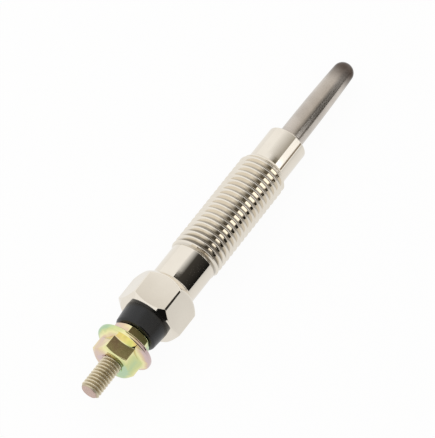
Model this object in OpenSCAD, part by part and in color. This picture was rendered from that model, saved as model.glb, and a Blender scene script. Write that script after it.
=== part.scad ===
// Sheathed-element diesel glow plug, lying on one flat of its hexagon.
// The plug's axis is X. The origin is where the nose meets the sealing cone, the face that seats in
// the cylinder head, and +X points to the heater's tip. All sizes are in millimetres.

/* [Housing] */
// Major diameter of the body thread
body_thread_d = 10; // [9.6:0.1:11]
// Pitch of the body thread
body_thread_pitch = 1.25; // [0.75:0.05:1.5]
// Length of the body thread with its run-outs
body_thread_len = 24.9; // [10:0.1:40]
// Run-out at the shank end of the thread
thread_start_len = 0.7; // [0.3:0.1:2]
// Tapered lead at the nose end of the thread
thread_lead_len = 1.3; // [0.5:0.1:4]
// Hexagon across flats
hex_af = 12; // [11.5:0.1:16]
// Length of the hexagon from its mouth to the shank
hex_len = 8.1; // [6:0.1:14]
// Diameter of the flat face at the hexagon's mouth
hex_face_d = 11.8; // [10.4:0.1:12]
// Length of the rounded corners on the shank side of the hexagon
hex_dome_len = 2.24; // [1:0.02:3]
// Plain shank between the hexagon and the thread
shank_len = 7; // [2:0.1:20]
// Diameter of the plain nose
nose_d = 8.2; // [7.6:0.1:8.8]
// Length of the plain nose
nose_len = 7.3; // [3:0.1:15]
// Length of the sealing cone
seat_len = 1; // [0.8:0.1:2.5]
// Flat land left round the heater at the end of the sealing cone
seat_land = 0.12; // [0.05:0.01:0.3]
// Diameter of the long bore that clears the electrode
core_bore_d = 6; // [5.5:0.1:6.6]
// Diameter of the counterbore in the hexagon's mouth
mouth_bore_d = 7.4; // [7:0.1:8]

/* [Heater] */
// Diameter of the sheath where it enters the nose
sheath_d = 5; // [4.6:0.1:5.4]
// Wall of the sheath
sheath_wall = 0.65; // [0.3:0.05:0.7]
// Heater standing out of the sealing cone
heater_len = 20.8; // [14:0.1:28]
// Straight stretch of the heater before it narrows
heater_straight = 1.5; // [0.5:0.1:5]
// Narrowing of the heater's radius from root to tip
heater_taper = 0.45; // [0.1:0.01:0.6]
// Length of the rounded end of the tip
tip_round = 2; // [1:0.05:2.2]
// Diameter of the flat left in the middle of the tip
tip_flat_d = 0.4; // [0.1:0.1:1.2]
// Solid welded end of the sheath
tip_wall = 1.5; // [0.8:0.1:2.5]
// Depth of the sheath in the nose
sheath_grip = 16; // [8:0.5:20]
// Mean diameter of both coils
coil_d = 2.2; // [1.8:0.1:2.4]
// Wire of the control coil
control_wire_d = 0.4; // [0.3:0.02:0.5]
// Turns of the control coil
control_turns = 10; // [4:1:14]
// Wire of the heating coil
heating_wire_d = 0.34; // [0.24:0.02:0.44]
// Turns of the heating coil
heating_turns = 11; // [4:1:16]
// Stretch of electrode inside the start of the control coil
coil_grip = 2; // [1:0.1:3]
// Straight leg from the heating coil's last turn to the welded tip
coil_leg = 0.9; // [0.7:0.1:1.5]

/* [Terminal] */
// Major diameter of the terminal stud's thread
stud_d = 4; // [3.6:0.1:4.4]
// Pitch of the terminal stud's thread
stud_pitch = 0.7; // [0.5:0.05:0.8]
// Stud standing clear of the flange nut
stud_free = 7.1; // [4:0.1:14]
// Chamfer at the stud's end
stud_chamfer = 0.45; // [0.2:0.05:0.8]
// Flange nut across flats
flange_nut_af = 8; // [7.5:0.1:9]
// Diameter of the flange nut's flat top inside its bevel
flange_nut_face_d = 7.4; // [6.6:0.1:7.4]
// Diameter of the countersink in the flange nut's top
countersink_d = 4.8; // [4.5:0.1:5.4]
// Height of the flange nut
flange_nut_h = 4.7; // [4:0.1:7]
// Diameter of the nut's flange
flange_d = 11.5; // [10.5:0.1:14]
// Thickness of the flange at its rim
flange_rim = 0.9; // [0.6:0.05:1.4]
// Rise of the flange's sloping top from the rim to the hexagon
flange_rise = 0.75; // [0.4:0.05:1.2]
// Rounding of the flange's rim
flange_round = 0.3; // [0.1:0.05:0.45]
// Angle by which the flange nut stopped turning
flange_nut_turn = 8; // [0:1:59]
// Plain nut across flats
lock_nut_af = 7; // [6.6:0.1:9]
// Diameter of the plain nut's flat faces inside their bevels
lock_nut_face_d = 6.6; // [5.6:0.1:6.6]
// Height of the plain nut
lock_nut_h = 2.5; // [2:0.05:4]
// Angle by which the plain nut stopped turning
lock_nut_turn = 28; // [0:1:59]

/* [Insulator] */
// Length of the bush outside the housing
bush_len = 4; // [2:0.1:6]
// Diameter of the bush at its outer end
bush_end_d = 8.6; // [8.2:0.1:9]
// Diameter of the bush where it sits on the hexagon
bush_foot_d = 9.2; // [8.8:0.1:9.6]
// Rounding of the bush's outer edge
bush_round = 0.7; // [0.2:0.05:1]
// Length of the bush's spigot in the housing
bush_spigot_len = 2.2; // [1:0.1:4]
// Length of the rubber plug in the sheath's mouth
sheath_seal_len = 2.5; // [1:0.1:4]

/* [Fits] */
// Radial clearance of pressed and seated pieces
press_fit = 0.01; // [0.005:0.005:0.03]
// Radial clearance of pieces that slide together
slide_fit = 0.08; // [0.04:0.01:0.12]

/* [Hidden] */
$fn = 96;

// Steps along the narrowing heater, round an edge, and along and round a coil's wire
taper_steps = 12;
round_steps = 10;
coil_sides = 6;
coil_steps = 14;
// Bevels on hexagons, countersinks and lead-ins, and how far a cut runs past a face
bevel_angle = 30;
lead_angle = 45;
overlap = 0.5;

// Stations along the axis, from the sealing cone towards the stud
thread_end_x = -nose_len;
thread_start_x = thread_end_x - body_thread_len;
shank_x = thread_start_x - shank_len;
mouth_x = shank_x - hex_len;
bush_x = mouth_x - bush_len;
lock_nut_x = bush_x - lock_nut_h;
flange_nut_x = lock_nut_x - flange_nut_h;
stud_end_x = flange_nut_x - stud_free;
// Stations from the sealing cone towards the tip
root_x = seat_len;
tip_x = root_x + heater_len;
taper_x = root_x + heater_straight;
cavity_x = tip_x - tip_wall;

// A rolled thread raises its crests from a blank of the pitch diameter, so the plain rod or shank
// beside the thread has that diameter. Where a nut grips, stud and nut are drawn there too.
pitch_factor = 0.6495;
// Sixty-degree thread in section: depth, flat crest and flat root as shares of the pitch
depth_factor = 0.6134;
crest_share = 1 / 8;
root_share = 1 / 6;
shank_r = (body_thread_d - pitch_factor * body_thread_pitch) / 2;
body_r = body_thread_d / 2;
nose_r = nose_d / 2;
rod_r = (stud_d - pitch_factor * stud_pitch) / 2;
stud_r = stud_d / 2;
sheath_r = sheath_d / 2;
sheath_bore_r = sheath_r - sheath_wall;
coil_r = coil_d / 2;
control_wire_r = control_wire_d / 2;
heating_wire_r = heating_wire_d / 2;

// Sealing ring: it fills the counterbore between the rod and the wall
mouth_r = mouth_bore_d / 2;
ring_wire_r = (mouth_r - rod_r) / 2 - press_fit;
ring_x = mouth_x + bush_spigot_len + ring_wire_r + press_fit;
mouth_floor_x = ring_x + ring_wire_r + press_fit;

// Sheath mouth and the electrode inside it
sheath_x = -sheath_grip;
seal_end_x = sheath_x + sheath_seal_len;
control_x = root_x - coil_grip;
spigot_r = coil_inner_r(control_wire_r) - press_fit;
pin_r = coil_r;
spigot_end_x = control_x + coil_grip;
coil_tip_x = cavity_x - coil_leg;
coil_first_x = control_x + control_wire_r + press_fit;
coil_step = (coil_tip_x - coil_first_x) / (control_turns + heating_turns);
coil_joint_x = coil_first_x + control_turns * coil_step;

// Radius of the sheath at station x: straight, then narrowing along a shallow parabola
function heater_r(x) = x < taper_x ? sheath_r
    : sheath_r - heater_taper * pow((x - taper_x) / (tip_x - taper_x), 2);
// Clear radius inside a coil whose turns are drawn with straight steps
function coil_inner_r(wire_r) = (coil_r - wire_r) * cos(180 / coil_steps);

// A shape of revolution round the plug's axis from points [radius, station]
module turned(points) {
    rotate([0, 90, 0]) rotate_extrude() polygon(points);
}

// Grooves of a rolled thread in section, one every pitch, from a crest at station x0 on to station x1.
// They leave parallel ridges with the thread's own depth, flanks and pitch.
module thread_grooves(x0, x1, pitch, crest_r) {
    way = sign(x1 - x0);
    crest = crest_share * pitch;
    mouth = (pitch - crest) / 2;
    root = root_share * pitch / 2;
    depth = depth_factor * pitch;
    for (i = [0:floor((abs(x1 - x0) - crest) / pitch) - 1])
        translate([crest_r, x0 + way * (crest + mouth + i * pitch)])
            polygon([[overlap, -mouth], [0, -mouth], [-depth, -root], [-depth, root], [0, mouth],
                     [overlap, mouth]]);
}

// A plain round bar or bore between two stations
module bar(radius, x0, x1) {
    translate([x0, 0, 0]) rotate([0, 90, 0]) cylinder(r = radius, h = x1 - x0);
}

// A plain hexagon bar between two stations, with a flat below at turn 0
module hex_prism(across_flats, x0, x1, turn) {
    translate([x0, 0, 0]) rotate([0, 90, 0]) rotate([0, 0, 30 + turn])
        cylinder(r = across_flats / 2 / cos(30), h = x1 - x0, $fn = 6);
}

// A hexagon bar bevelled to a round face at either end
module hex_bar(across_flats, x0, x1, face0_r, face1_r, turn) {
    corner_r = across_flats / 2 / cos(30);
    bevel0 = (corner_r - face0_r) * tan(bevel_angle);
    bevel1 = (corner_r - face1_r) * tan(bevel_angle);
    intersection() {
        hex_prism(across_flats, x0, x1, turn);
        turned([[0, x0], [face0_r, x0], [corner_r, x0 + bevel0],
                [corner_r, x1 - bevel1], [face1_r, x1], [0, x1]]);
    }
}

// A hole through a nut with a lead-in countersink at both faces
module nut_hole(x0, x1, lead_r) {
    hole_r = rod_r + press_fit;
    depth = (lead_r - hole_r) * tan(lead_angle);
    turned([[0, x0 - overlap], [lead_r, x0 - overlap], [lead_r, x0], [hole_r, x0 + depth],
            [hole_r, x1 - depth], [lead_r, x1], [lead_r, x1 + overlap], [0, x1 + overlap]]);
}

// Ring of points round a coil's wire. The wire lies at this turn and station, and heads round the
// axis at heading 0 or along it at heading 90.
function wire_ring(turn, x, heading, wire_r) =
    [for (i = [0:coil_sides - 1])
        let (a = 360 * i / coil_sides, r = coil_r + wire_r * cos(a), off = wire_r * sin(a),
             side = -off * sin(heading))
        [x + off * cos(heading), r * cos(turn) - side * sin(turn), r * sin(turn) + side * cos(turn)]];

// A bend of two wire radii that turns the end of a coil from round the axis to along it
function bend_r(wire_r) = 2 * wire_r;
function leg_turn(wire_r) = bend_r(wire_r) / coil_r * 180 / PI;
function coil_end(x, leg_x, wire_r) =
    [for (heading = [30, 60, 90])
        let (turn = leg_turn(wire_r) * sin(heading), rise = bend_r(wire_r) * (1 - cos(heading)))
        each wire_ring(turn, x + rise, heading, wire_r),
     each wire_ring(leg_turn(wire_r), leg_x, 90, wire_r)];

// A coil of round wire along the axis, with a straight leg to leg_x where that is given
module coil(x0, turns, wire_r, leg_x = undef) {
    x1 = x0 + turns * coil_step;
    winding = [for (k = [0:turns * coil_steps])
        each wire_ring(360 * k / coil_steps, x0 + coil_step * k / coil_steps, 0, wire_r)];
    points = is_undef(leg_x) ? winding : concat(winding, coil_end(x1, leg_x, wire_r));
    last = len(points) - coil_sides;
    sides = [for (a = [0:coil_sides:last - coil_sides], i = [0:coil_sides - 1])
        let (j = (i + 1) % coil_sides, b = a + coil_sides)
        [a + i, b + i, b + j, a + j]];
    caps = [[for (i = [0:coil_sides - 1]) i], [for (i = [coil_sides - 1:-1:0]) last + i]];
    polyhedron(points, concat(sides, caps));
}

// Steel shell turned from hexagon bar: bevelled mouth, rounded rear corners, shank, rolled thread that
// runs out on a tapered lead, nose and sealing cone
module housing() {
    corner_r = hex_af / 2 / cos(30);
    face_r = hex_face_d / 2;
    dome_x = shank_x - hex_dome_len;
    dome_back = (pow(corner_r, 2) - pow(shank_r, 2) - pow(hex_dome_len, 2)) / (2 * hex_dome_len);
    dome_r = sqrt(pow(corner_r, 2) + pow(dome_back, 2));
    dome_from = atan2(corner_r, dome_back);
    dome_to = atan2(shank_r, dome_back + hex_dome_len);
    dome = [for (i = [0:round_steps])
        let (a = dome_from + (dome_to - dome_from) * i / round_steps)
        [dome_r * sin(a), dome_x - dome_back + dome_r * cos(a)]];
    head = [[0, mouth_x], [face_r, mouth_x], [corner_r, mouth_x + (corner_r - face_r) * tan(bevel_angle)]];
    crest_x = thread_start_x + thread_start_len;
    body = [[shank_r, thread_start_x], [body_r, crest_x], [body_r, thread_end_x - thread_lead_len],
            [nose_r, thread_end_x], [nose_r, 0], [sheath_r + press_fit + seat_land, root_x], [0, root_x]];
    color([0.86, 0.83, 0.78]) difference() {
        intersection() {
            hex_prism(hex_af, mouth_x - overlap, root_x + overlap, 0);
            rotate([0, 90, 0]) rotate_extrude() difference() {
                polygon(concat(head, dome, body));
                thread_grooves(crest_x, thread_end_x, body_thread_pitch, body_r);
            }
        }
        housing_bore();
    }
}

// Stepped bore of the housing: ring counterbore, electrode clearance and the press fit for the sheath
module housing_bore() {
    grip_r = sheath_r + press_fit;
    core_r = core_bore_d / 2;
    lead = (core_r - grip_r) * tan(lead_angle);
    turned([[0, mouth_x - overlap], [mouth_r, mouth_x - overlap], [mouth_r, mouth_floor_x],
            [core_r, mouth_floor_x], [core_r, sheath_x - lead], [grip_r, sheath_x],
            [grip_r, root_x + overlap], [0, root_x + overlap]]);
}

// Drawn alloy tube with a closed round tip, narrowed towards the tip by swaging
module heater_sheath() {
    shoulder_x = tip_x - tip_round;
    shoulder_r = heater_r(shoulder_x);
    flat_r = tip_flat_d / 2;
    side = [for (i = [0:taper_steps])
        let (x = taper_x + (shoulder_x - taper_x) * i / taper_steps) [heater_r(x), x]];
    tip = [for (i = [1:round_steps])
        let (a = 90 * i / round_steps)
        [flat_r + (shoulder_r - flat_r) * cos(a), shoulder_x + tip_round * sin(a)]];
    inside = [for (p = [for (i = [taper_steps:-1:0]) side[i]])
        if (p[1] < cavity_x) [p[0] - sheath_wall, p[1]]];
    color([0.62, 0.60, 0.57])
        turned(concat([[sheath_bore_r, sheath_x], [sheath_r, sheath_x]], side, tip,
            [[0, tip_x], [0, cavity_x], [heater_r(cavity_x) - sheath_wall, cavity_x]], inside));
}

// Winding at the tip, its leg against the welded end of the sheath
module heating_coil() {
    color([0.45, 0.42, 0.40]) coil(coil_joint_x, heating_turns, heating_wire_r, cavity_x);
}

// Winding that starts on the electrode and runs to the heating coil
module control_coil() {
    color([0.55, 0.52, 0.48]) coil(coil_first_x, control_turns, control_wire_r);
}

// Room for a winding between two stations, as a ring seen in section
module winding_room(x0, x1, wire_r) {
    inner_r = coil_inner_r(wire_r) - press_fit;
    outer_r = coil_r + wire_r + press_fit;
    translate([inner_r, x0]) square([outer_r - inner_r, x1 - x0]);
}

// Packed magnesium oxide round the electrode and the coils
module insulation_powder() {
    gap = press_fit;
    end_x = cavity_x - gap;
    leg_at = leg_turn(heating_wire_r);
    room_end_x = coil_tip_x + bend_r(heating_wire_r);
    side = [for (i = [0:taper_steps])
        let (x = taper_x + (end_x - taper_x) * i / taper_steps) [heater_r(x) - sheath_wall - gap, x]];
    color([0.93, 0.92, 0.88]) difference() {
        rotate([0, 90, 0]) rotate_extrude() difference() {
            polygon(concat([[pin_r + gap, seal_end_x], [sheath_bore_r - gap, seal_end_x]], side,
                [[0, end_x], [0, spigot_end_x], [spigot_r, spigot_end_x], [spigot_r, control_x],
                 [pin_r + gap, control_x]]));
            winding_room(control_x, coil_joint_x + heating_wire_r + gap, control_wire_r);
            winding_room(coil_joint_x, room_end_x, heating_wire_r);
        }
        translate([room_end_x - overlap, coil_r * cos(leg_at), coil_r * sin(leg_at)]) rotate([0, 90, 0])
            cylinder(r = heating_wire_r + gap / 2, h = coil_leg + 2 * overlap, $fn = 32);
    }
}

// Rubber plug that closes the sheath's mouth
module sheath_seal() {
    color([0.16, 0.16, 0.17]) difference() {
        bar(sheath_bore_r - press_fit, sheath_x, seal_end_x);
        bar(pin_r + press_fit, sheath_x - overlap, seal_end_x + overlap);
    }
}

// Rod from the coil to the terminal: rolled stud, plain rod, pin in the sheath, spigot in the coil
module centre_electrode() {
    color([0.66, 0.62, 0.50]) rotate([0, 90, 0]) rotate_extrude() difference() {
        polygon([[0, stud_end_x], [stud_r - stud_chamfer, stud_end_x], [stud_r, stud_end_x + stud_chamfer],
                 [stud_r, flange_nut_x], [rod_r, flange_nut_x], [rod_r, sheath_x], [pin_r, sheath_x],
                 [pin_r, control_x], [spigot_r, control_x], [spigot_r, spigot_end_x], [0, spigot_end_x]]);
        thread_grooves(flange_nut_x, stud_end_x, stud_pitch, stud_r);
    }
}

// Rubber ring squeezed into the counterbore by the bush
module seal_ring() {
    color([0.10, 0.10, 0.11]) translate([ring_x, 0, 0]) rotate([0, 90, 0])
        rotate_extrude() translate([rod_r + press_fit + ring_wire_r, 0]) circle(r = ring_wire_r, $fn = 48);
}

// Moulded bush: tapered collar on the hexagon's mouth and a spigot in the counterbore
module insulator_bush() {
    end_r = bush_end_d / 2;
    edge = [for (i = [0:round_steps])
        let (a = 90 * i / round_steps)
        [end_r - bush_round + bush_round * sin(a), bush_x + bush_round - bush_round * cos(a)]];
    spigot = mouth_r - slide_fit;
    hole = rod_r + slide_fit;
    color([0.13, 0.14, 0.16])
        turned(concat([[hole, bush_x]], edge, [[bush_foot_d / 2, mouth_x], [spigot, mouth_x],
            [spigot, mouth_x + bush_spigot_len], [hole, mouth_x + bush_spigot_len]]));
}

// Plain hexagon nut, bevelled on both faces
module lock_nut() {
    face_r = lock_nut_face_d / 2;
    color([0.70, 0.66, 0.42]) difference() {
        hex_bar(lock_nut_af, lock_nut_x, bush_x, face_r, face_r, lock_nut_turn);
        nut_hole(lock_nut_x, bush_x, stud_r + slide_fit);
    }
}

// Hexagon flange nut: bevelled top, hexagon that runs into a sloping flange with a rounded rim
module terminal_nut() {
    corner_r = flange_nut_af / 2 / cos(30);
    flange_r = flange_d / 2;
    rim_x = lock_nut_x - flange_rim;
    slope_x = rim_x - flange_rise;
    foot_bevel = flange_round / 2;
    rim = [for (i = [0:round_steps])
        let (a = 90 * i / round_steps)
        [flange_r - flange_round + flange_round * sin(a), rim_x + flange_round - flange_round * cos(a)]];
    color([0.78, 0.74, 0.45]) difference() {
        union() {
            hex_bar(flange_nut_af, flange_nut_x, lock_nut_x - flange_round, flange_nut_face_d / 2, corner_r,
                    flange_nut_turn);
            turned(concat([[0, slope_x], [flange_nut_af / 2, slope_x]], rim,
                [[flange_r, lock_nut_x - foot_bevel], [flange_r - foot_bevel, lock_nut_x], [0, lock_nut_x]]));
        }
        nut_hole(flange_nut_x, lock_nut_x, countersink_d / 2);
    }
}

housing();
heater_sheath();
heating_coil();
control_coil();
insulation_powder();
sheath_seal();
centre_electrode();
seal_ring();
insulator_bush();
lock_nut();
terminal_nut();
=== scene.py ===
# %% [markdown]
# # A diesel glow plug
# A glow plug is a slim heater that screws into a diesel engine's cylinder head. A steel housing carries
# a hexagon, a long rolled thread and a sealing cone. A heater rod stands out of the cone, and at the
# other end a threaded stud with two nuts takes the current. This lesson dresses the CAD model of such a
# plug: the real threads are cut, the edges are softened and every surface gets its finish.
#
# The CAD model is loaded first as a fixed frame. Its axis is X, the origin is where the nose meets the
# sealing cone, and one unit is a metre. Sizes in this file are millimetres until a mesh is made.

# %% Load the frame
import math

import bmesh
import bpy
import numpy as np
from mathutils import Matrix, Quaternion, Vector


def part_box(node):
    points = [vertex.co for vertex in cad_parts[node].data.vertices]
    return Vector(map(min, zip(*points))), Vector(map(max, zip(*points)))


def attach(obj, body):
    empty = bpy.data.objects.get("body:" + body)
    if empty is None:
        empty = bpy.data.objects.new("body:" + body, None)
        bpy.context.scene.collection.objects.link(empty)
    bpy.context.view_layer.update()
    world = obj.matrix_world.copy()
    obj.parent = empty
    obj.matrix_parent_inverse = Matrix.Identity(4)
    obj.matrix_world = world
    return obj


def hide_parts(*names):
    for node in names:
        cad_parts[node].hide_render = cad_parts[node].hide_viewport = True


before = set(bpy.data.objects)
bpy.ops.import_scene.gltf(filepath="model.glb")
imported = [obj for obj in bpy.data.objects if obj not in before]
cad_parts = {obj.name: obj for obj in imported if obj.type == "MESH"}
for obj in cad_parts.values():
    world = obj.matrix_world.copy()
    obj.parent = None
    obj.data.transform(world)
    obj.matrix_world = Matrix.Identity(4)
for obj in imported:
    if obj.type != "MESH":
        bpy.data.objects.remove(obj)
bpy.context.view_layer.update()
MM = 0.001


def span(node):
    """First and last station of a CAD node along the plug's axis, in millimetres."""
    low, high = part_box(node)
    return low.x / MM, high.x / MM


def half_width(node):
    """Largest distance of a CAD node from the axis, sideways, in millimetres."""
    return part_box(node)[1].y / MM


mouth_x, root_x = span("housing")
sheath_x, tip_x = span("heater_sheath")
bush_x, bush_end_x = span("insulator_bush")
lock_nut_x = span("lock_nut")[0]
flange_nut_x = span("terminal_nut")[0]
stud_end_x, spigot_end_x = span("centre_electrode")
print(f"plug from {stud_end_x:.2f} to {tip_x:.2f} mm, hexagon mouth at {mouth_x:.2f} mm")

# %% [markdown]
# ## Camera
# The photograph looks down on the plug from beyond its stud, so the stud end is the near one. A long lens
# keeps the two sides of the plug nearly parallel, as they are in the picture. The camera is placed by the
# angle round the plug, the angle above the table and the distance, because those are what was measured,
# and it is rolled a little, as a camera held in the hand is.

# %% Place the camera
VIEW_AZIMUTH = 210.02
VIEW_ELEVATION = 58.86
VIEW_ROLL = 4.51
VIEW_DISTANCE = 563.74
VIEW_TARGET = Vector((-21.717, 1.396, 0.0))
FOCAL_PIXELS = 3001.5
IMAGE_LONG_SIDE = 438
SENSOR_MM = 36
NEAREST_MM = 10
scene = bpy.context.scene

azimuth, elevation = math.radians(VIEW_AZIMUTH), math.radians(VIEW_ELEVATION)
to_camera = Vector((math.cos(elevation) * math.cos(azimuth), math.cos(elevation) * math.sin(azimuth),
                    math.sin(elevation)))
camera = bpy.data.objects.new("camera", bpy.data.cameras.new("camera"))
camera.data.sensor_width = SENSOR_MM
camera.data.lens = FOCAL_PIXELS * SENSOR_MM / IMAGE_LONG_SIDE
camera.data.clip_start = NEAREST_MM * MM
camera.location = (VIEW_TARGET + VIEW_DISTANCE * to_camera) * MM
upright = (-to_camera).to_track_quat("-Z", "Y")
camera.rotation_euler = (upright @ Quaternion((0, 0, 1), math.radians(VIEW_ROLL))).to_euler()
scene.collection.objects.link(camera)
scene.camera = camera
print(f"camera lens {camera.data.lens:.1f} mm at {VIEW_DISTANCE} mm")

# %% [markdown]
# ## Nodes in code
# Materials, the world and the thread are all node trees. One small function adds a node, sets its
# properties, and for each input either links a socket or writes a value. A second one turns the sRGB
# colours that people write and pick into the linear ones that a shader works with. A Mix node has a set
# of sockets for each kind of data, all with the same names, so those are called by their places.

# %% Helpers for node trees
VALUE_A, VALUE_B = 2, 3
COLOUR_A, COLOUR_B, COLOUR_OUT = 6, 7, 2


def add(tree, kind, inputs=None, **settings):
    """Adds a node; an input given as a socket is linked, any other is set as a value."""
    made = tree.nodes.new(kind)
    for name, value in settings.items():
        setattr(made, name, value)
    for key, value in (inputs or {}).items():
        if isinstance(value, bpy.types.NodeSocket):
            tree.links.new(value, made.inputs[key])
        else:
            made.inputs[key].default_value = value
    return made


def linear(colour):
    """An sRGB hex colour as the linear RGBA of a socket, by the curve of the sRGB standard."""
    parts = [int(colour[i:i + 2], 16) / 255 for i in (1, 3, 5)]
    return [c / 12.92 if c <= 0.04045 else ((c + 0.055) / 1.055) ** 2.4 for c in parts] + [1.0]


def per_metre(size_mm):
    """Texture scale that gives a pattern features of this size."""
    return 1 / (size_mm * MM)


print("warm white is", [round(c, 3) for c in linear("#FFF8EE")])

# %% [markdown]
# ## Table and studio
# Plated metal has hardly any colour of its own: it shows the room. The picture tells what that room was.
# The table is white, a broad light hangs on the far side, and the camera's side is dark, from above the
# camera down to the table's edge. That dark side is the black band along the shank. Past the shank a white
# card brightens it, which is why thread and nose show a light stripe there, and beyond the card it is dark
# again, so the heater has a soft dark band.
#
# The dark side and the card are curved screens round the plug that only reflections see, and the camera
# looks through them. The table lies against the hexagon and the thread, which is how the plug comes to
# rest. Camera and mirrors see a plain white sky, and matt surfaces get a little less light from it.

# %% World and table
HEX_REST = (-41.4, -6.0)
THREAD_REST = (-8.6, -5.0)
TABLE_HALF = 900
SKY_LIGHT = 0.75
scene.view_settings.view_transform = "Standard"


def plain_rays(tree):
    """The Light Path node, and a socket that is 1 for rays that have to find a plain background."""
    rays = add(tree, "ShaderNodeLightPath")
    seen = rays.outputs["Is Camera Ray"]
    for kind in ("Is Glossy Ray", "Is Transmission Ray"):
        seen = add(tree, "ShaderNodeMath", {0: seen, 1: rays.outputs[kind]}, operation="MAXIMUM").outputs[0]
    return rays, seen


world = bpy.data.worlds.new("white studio")
world.use_nodes = True
scene.world = world
tree = world.node_tree
tree.nodes.clear()
level = add(tree, "ShaderNodeMapRange", {"Value": plain_rays(tree)[1], "To Min": SKY_LIGHT, "To Max": 1.0})
sky = add(tree, "ShaderNodeBackground", {"Color": linear("#FFFFFF"), "Strength": level.outputs[0]})
add(tree, "ShaderNodeOutputWorld", {"Surface": sky.outputs[0]})

slope = (THREAD_REST[1] - HEX_REST[1]) / (THREAD_REST[0] - HEX_REST[0])
corners = [(x * TABLE_HALF, y * TABLE_HALF) for x, y in ((-1, -1), (1, -1), (1, 1), (-1, 1))]
table_mesh = bpy.data.meshes.new("table")
table_mesh.from_pydata([(x * MM, y * MM, (HEX_REST[1] + slope * (x - HEX_REST[0])) * MM) for x, y in corners],
                       [], [(0, 1, 2, 3)])
table = bpy.data.objects.new("table", table_mesh)
scene.collection.objects.link(table)
print(f"table tilted {math.degrees(math.atan(slope)):.2f} degrees to the plug's axis")

# %% [markdown]
# The table has to read as white behind the plug and still take its shadow. The camera therefore sees mostly
# a plain white of strength 1, mixed with some of the real, shaded table. In reflections the white falls off
# towards the camera, because the light comes from the far side.

# %% Table finish
TABLE_GLOW = 0.95
TABLE_DIM_Y, TABLE_LIT_Y = -60, 10
TABLE_DIM, TABLE_LIT = 0.74, 0.94
paper = bpy.data.materials.new("white table, matt paper")
paper.use_nodes = True
tree = paper.node_tree
tree.nodes.clear()
rays, seen = plain_rays(tree)
share = add(tree, "ShaderNodeMath", {0: seen, 1: TABLE_GLOW}, operation="MULTIPLY")
matt = add(tree, "ShaderNodeBsdfDiffuse", {"Color": linear("#F6F4F0")})
place = add(tree, "ShaderNodeTexCoord").outputs["Object"]
across = add(tree, "ShaderNodeSeparateXYZ", {0: place}).outputs["Y"]
falloff = add(tree, "ShaderNodeMapRange", {
    "Value": across, "From Min": TABLE_DIM_Y * MM, "From Max": TABLE_LIT_Y * MM,
    "To Min": TABLE_DIM, "To Max": TABLE_LIT})
plain = add(tree, "ShaderNodeMix", {0: rays.outputs["Is Camera Ray"], VALUE_A: falloff.outputs[0],
                                    VALUE_B: 1.0})
glow = add(tree, "ShaderNodeEmission", {"Color": linear("#FFFFFF"), "Strength": plain.outputs[0]})
both = add(tree, "ShaderNodeMixShader", {0: share.outputs[0], 1: matt.outputs[0], 2: glow.outputs[0]})
add(tree, "ShaderNodeOutputMaterial", {"Surface": both.outputs[0]})
table_mesh.materials.append(paper)
print("table shows", TABLE_GLOW, "plain white to the camera")

# %% [markdown]
# A screen is a strip of a cylinder round the plug's axis. Its place is given by two stations along the
# axis and two angles, measured from the +Y side over the top. A reflection seen from the camera's angle
# leaves the plug leaning towards the heater, so a screen stands further that way than what shows it. The
# dark side has no hard edge at its top, so a screen may fade from one colour to another between its
# angles, and along the axis too. An image plane with a painted room could do the same, but a strip with a
# colour at each corner is easier to move until its reflection is right.

# %% Helpers for screens
SCREEN_RADIUS = 150
SCREEN_STEPS = 24


def shown_at(x):
    """Station on a screen that the camera finds mirrored at this station of the plug."""
    to_eye = camera.location / MM - Vector((x, 0, 0))
    return x - to_eye.x / math.hypot(to_eye.y, to_eye.z) * SCREEN_RADIUS


def show_in_reflections(name, points, faces, colours, strength=1.0):
    """A screen from points in millimetres, each with its own colour, that only reflections see."""
    mesh = bpy.data.meshes.new(name)
    mesh.from_pydata([Vector(p) * MM for p in points], [], faces)
    shade = mesh.color_attributes.new("shade", "FLOAT_COLOR", "POINT")
    shade.data.foreach_set("color", np.ravel(colours))
    material = bpy.data.materials.new(name)
    material.use_nodes = True
    tree = material.node_tree
    tree.nodes.clear()
    given = add(tree, "ShaderNodeVertexColor", layer_name="shade")
    light = add(tree, "ShaderNodeEmission", {"Color": given.outputs[0], "Strength": strength})
    add(tree, "ShaderNodeOutputMaterial", {"Surface": light.outputs[0]})
    mesh.materials.append(material)
    made = bpy.data.objects.new(name, mesh)
    scene.collection.objects.link(made)
    made.visible_camera = made.visible_diffuse = False
    made.visible_transmission = made.visible_volume_scatter = False
    return made


def screen(name, x0, x1, angle0, angle1, top, foot=None, strength=1.0):
    """A curved strip round the plug. Its top and its foot each have a colour, or one at x0 and one at x1."""
    share = np.linspace(0, 1, SCREEN_STEPS)
    angles = np.radians(angle0 + (angle1 - angle0) * share)
    points = [(x, SCREEN_RADIUS * math.cos(a), SCREEN_RADIUS * math.sin(a)) for a in angles for x in (x0, x1)]
    edges = [edge if isinstance(edge, tuple) else (edge, edge) for edge in (top, foot or top)]
    top, foot = ([linear(colour) for colour in edge] for edge in edges)
    fade = np.multiply.outer(1 - share, top) + np.multiply.outer(share, foot)
    faces = [(i, i + 1, i + 3, i + 2) for i in range(0, 2 * SCREEN_STEPS - 2, 2)]
    return show_in_reflections(name, points, faces, fade, strength)


print("the nose's start is mirrored from", round(shown_at(0), 1), "mm")

# %% [markdown]
# The screens follow one another from the stud to the heater, and at each station from the top down to the
# table's edge. The names say what shows them. Hexagon and heater have a pale wall above their dark side.
# A flat one is the dark room behind the camera, which the bevel at the hexagon's mouth shows at a corner.

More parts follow.
